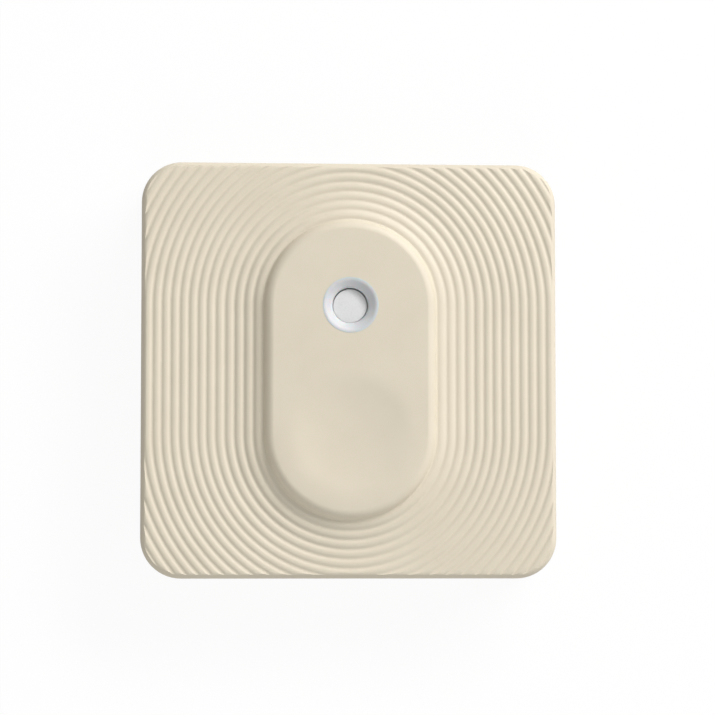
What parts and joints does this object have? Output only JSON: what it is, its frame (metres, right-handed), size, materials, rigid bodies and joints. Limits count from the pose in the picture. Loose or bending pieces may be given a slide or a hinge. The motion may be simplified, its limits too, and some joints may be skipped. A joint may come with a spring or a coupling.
{
  "type": "temperature humidity sensor",
  "caption": "Small square room sensor with rounded corners: a raised plateau with a finger dish and a vented light ring, fine ribs running round it, a lift-off rear cover and a coin cell.",
  "frame": {"origin": "middle of the flat back, at the bottom of the object as it lies face up", "axes": "+Z is the way the face looks, +Y runs up the face from the finger dish to the light ring, +X to the right"},
  "size_m": [0.035, 0.035, 0.0074],
  "materials": {
    "shell_plastic": "matte",
    "ring_plastic": "satin",
    "membrane": "matte",
    "foam": "matte",
    "board_laminate": "satin",
    "switch_plastic": "matte",
    "contact_steel": "satin",
    "contact_tin": "satin",
    "chip_black": "matte",
    "chip_ceramic": "matte",
    "capacitor_yellow": "satin",
    "lamp_clear": "gloss",
    "cell_metal": "satin",
    "cell_grommet": "satin"
  },
  "bodies": {
    "base": {"rear_cover": "shell_plastic"},
    "housing": {"front_shell": "shell_plastic", "light_ring": "ring_plastic", "vent_membrane": "membrane", "sensor_collar": "foam", "humidity_sensor": "chip_black", "lamp_base": "chip_ceramic", "lamp_lens": "lamp_clear", "circuit_board": "board_laminate", "switch_body": "switch_plastic", "switch_plate": "contact_steel", "switch_dome": "contact_steel", "switch_terminals": "contact_tin", "radio_chip": "chip_black", "crystal_base": "chip_ceramic", "crystal_lid": "contact_steel", "chip_antenna": "chip_ceramic", "bulk_capacitor": "capacitor_yellow", "chip_capacitors": "chip_ceramic", "chip_resistors": "chip_black", "minus_contact": "contact_tin", "plus_contact": "contact_tin"},
    "cell": {"cell_can": "cell_metal", "cell_seal": "cell_grommet", "cell_cap": "cell_metal"},
    "stem": {"switch_stem": "switch_plastic"}
  },
  "joints": [
    {"name": "housing_lift", "type": "slide", "parent": "base", "child": "housing", "axis": [0, 0, 1], "range_m": [0, 0.014]},
    {"name": "cell_lift", "type": "slide", "parent": "base", "child": "cell", "axis": [0, 0, 1], "range_m": [0, 0.007]},
    {"name": "stem_press", "type": "slide", "parent": "housing", "child": "stem", "axis": [0, 0, -1], "range_m": [0, 0.0002], "stiffness_N_per_m": 4000, "deforming": ["switch_dome"]}
  ],
  "couplings": [
    {"joint": "cell_lift", "follows": "housing_lift", "ratio": 0.5}
  ]
}
